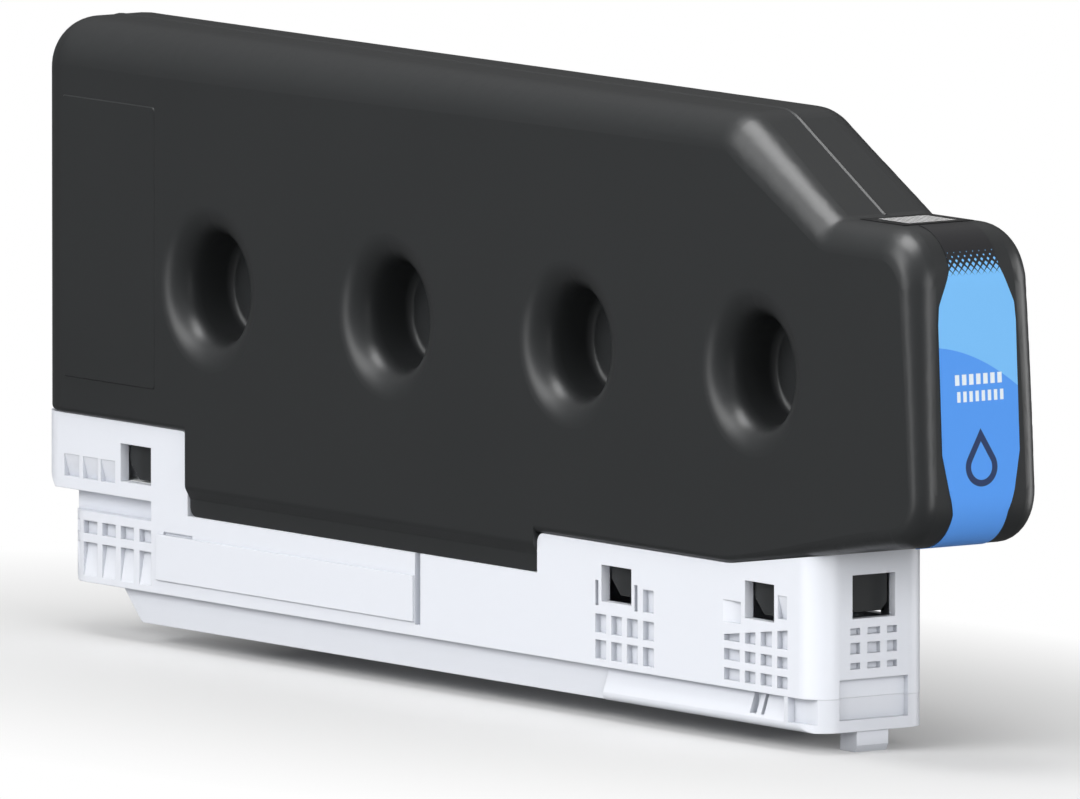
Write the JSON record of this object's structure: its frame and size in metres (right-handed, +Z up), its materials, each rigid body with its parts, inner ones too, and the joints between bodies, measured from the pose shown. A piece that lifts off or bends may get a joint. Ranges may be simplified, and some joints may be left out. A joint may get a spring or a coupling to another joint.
{
  "type": "inkjet ink cartridge",
  "caption": "Long flat black blow-moulded ink bottle with round dimples and a labelled nose, on a white moulded base with ink outlet, vent and chip.",
  "frame": {"origin": "middle of the footprint, on the surface that the cartridge stands on", "axes": "+X along the length from the insertion end to the labelled nose, +Y across the thickness, +Z up"},
  "size_m": [0.2914, 0.029, 0.12],
  "materials": {
    "bottle_plastic": "satin black",
    "ink": "dark cyan liquid",
    "base_plastic": "satin white",
    "cover_plastic": "satin white",
    "front_label_film": "printed film, blue",
    "top_label_film": "printed film, black",
    "inner_plastic": "natural",
    "seal_rubber": "matt black",
    "septum_rubber": "matt grey",
    "cap_metal": "drawn",
    "filter_steel": "fine mesh",
    "tube_plastic": "natural",
    "membrane": "matt white",
    "board": "green lacquer",
    "contact_gold": "gold plated",
    "die_resin": "black resin"
  },
  "bodies": {
    "root": {"bottle": "bottle_plastic", "ink": "ink", "base_frame": "base_plastic", "bottom_cover": "cover_plastic", "front_label": "front_label_film", "top_label": "top_label_film", "outlet_manifold": "inner_plastic", "neck_o_ring": "seal_rubber", "septum": "septum_rubber", "crimp_cap": "cap_metal", "outlet_filter": "filter_steel", "vent_plug": "inner_plastic", "vent_o_ring": "seal_rubber", "vent_tube": "tube_plastic", "vent_membrane": "membrane", "vent_ring": "inner_plastic", "chip_board": "board", "chip_contacts": "contact_gold", "chip_die": "die_resin"}
  },
  "joints": []
}
